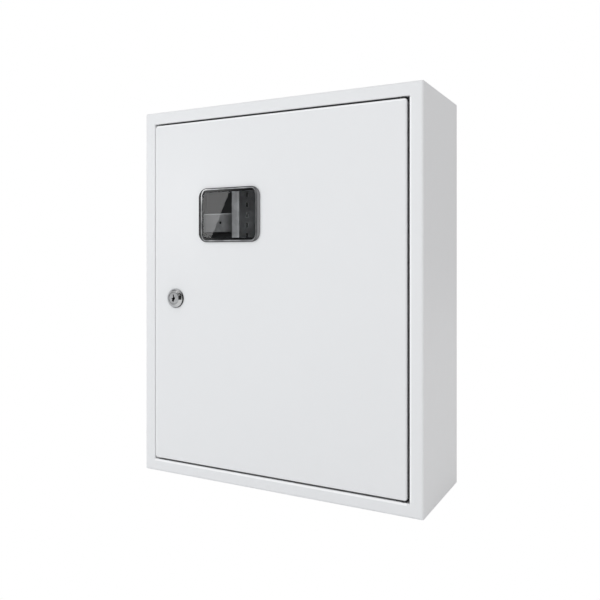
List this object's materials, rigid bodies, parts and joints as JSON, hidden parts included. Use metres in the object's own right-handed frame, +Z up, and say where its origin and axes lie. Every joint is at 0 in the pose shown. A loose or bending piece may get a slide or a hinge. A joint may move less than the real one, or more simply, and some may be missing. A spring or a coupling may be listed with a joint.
{
  "type": "electrical enclosure",
  "caption": "Wall-mounted sheet-steel electrical enclosure with an inset lockable door, a small viewing window and an inner mounting frame.",
  "frame": {"origin": "centre of the wall fixing pattern, on the rear face", "axes": "+X to the viewer's right, +Z up, +Y into the wall; the door faces -Y"},
  "size_m": [0.4, 0.1554, 0.5],
  "materials": {
    "paint_white": "satin powder coat with a fine orange-peel texture",
    "zinc_sheet": "zinc-coated sheet, dull",
    "zinc_screw": "bright zinc plating",
    "brass": "extruded brass, bright",
    "insulator_blue": "moulded, matte",
    "rubber_black": "moulded rubber",
    "clear_plastic": "clear polished moulding",
    "plastic_black": "moulded, matte",
    "lock_chrome": "satin nickel-chrome plating"
  },
  "bodies": {
    "enclosure": {"casing_shell": "paint_white", "back_panel": "paint_white", "base_rail_upper": "zinc_sheet", "base_rail_lower": "zinc_sheet", "post_left": "zinc_sheet", "post_right": "zinc_sheet", "post_screws": "zinc_screw", "meter_bar_upper": "zinc_sheet", "meter_bar_lower": "zinc_sheet", "meter_bar_screws": "zinc_screw", "din_rail": "zinc_sheet", "din_rail_screws": "zinc_screw", "neutral_stand_left": "insulator_blue", "neutral_stand_right": "insulator_blue", "neutral_bar": "brass", "neutral_bar_screws": "zinc_screw", "neutral_clamp_screws": "zinc_screw", "earth_stand_left": "zinc_sheet", "earth_stand_right": "zinc_sheet", "earth_bar": "brass", "earth_bar_screws": "zinc_screw", "earth_clamp_screws": "zinc_screw", "earth_stud": "zinc_screw", "earth_stud_washer": "brass", "earth_stud_nut": "brass", "hinge_pin_top": "zinc_screw", "hinge_pin_bottom": "zinc_screw", "door_buffer_top": "rubber_black", "door_buffer_bottom": "rubber_black"},
    "door": {"door_panel": "paint_white", "hinge_bush_top": "plastic_black", "hinge_bush_bottom": "plastic_black", "window_pane": "clear_plastic", "window_seal": "rubber_black", "window_retainer": "plastic_black", "lock_housing": "lock_chrome", "lock_nut": "zinc_screw", "door_stud": "zinc_screw", "door_stud_washer": "brass", "door_stud_nut": "brass"},
    "lock": {"lock_plug": "lock_chrome", "lock_cam": "zinc_sheet", "cam_screw": "zinc_screw"}
  },
  "joints": [
    {"name": "door_hinge", "type": "hinge", "parent": "enclosure", "child": "door", "pos_m": [0.1755, -0.145, 0], "axis": [0, 0, 1], "range_deg": [0, 105]},
    {"name": "lock_turn", "type": "hinge", "parent": "door", "child": "lock", "pos_m": [-0.1471, -0.15, -0.008], "axis": [0, 1, 0], "range_deg": [0, 90]}
  ]
}
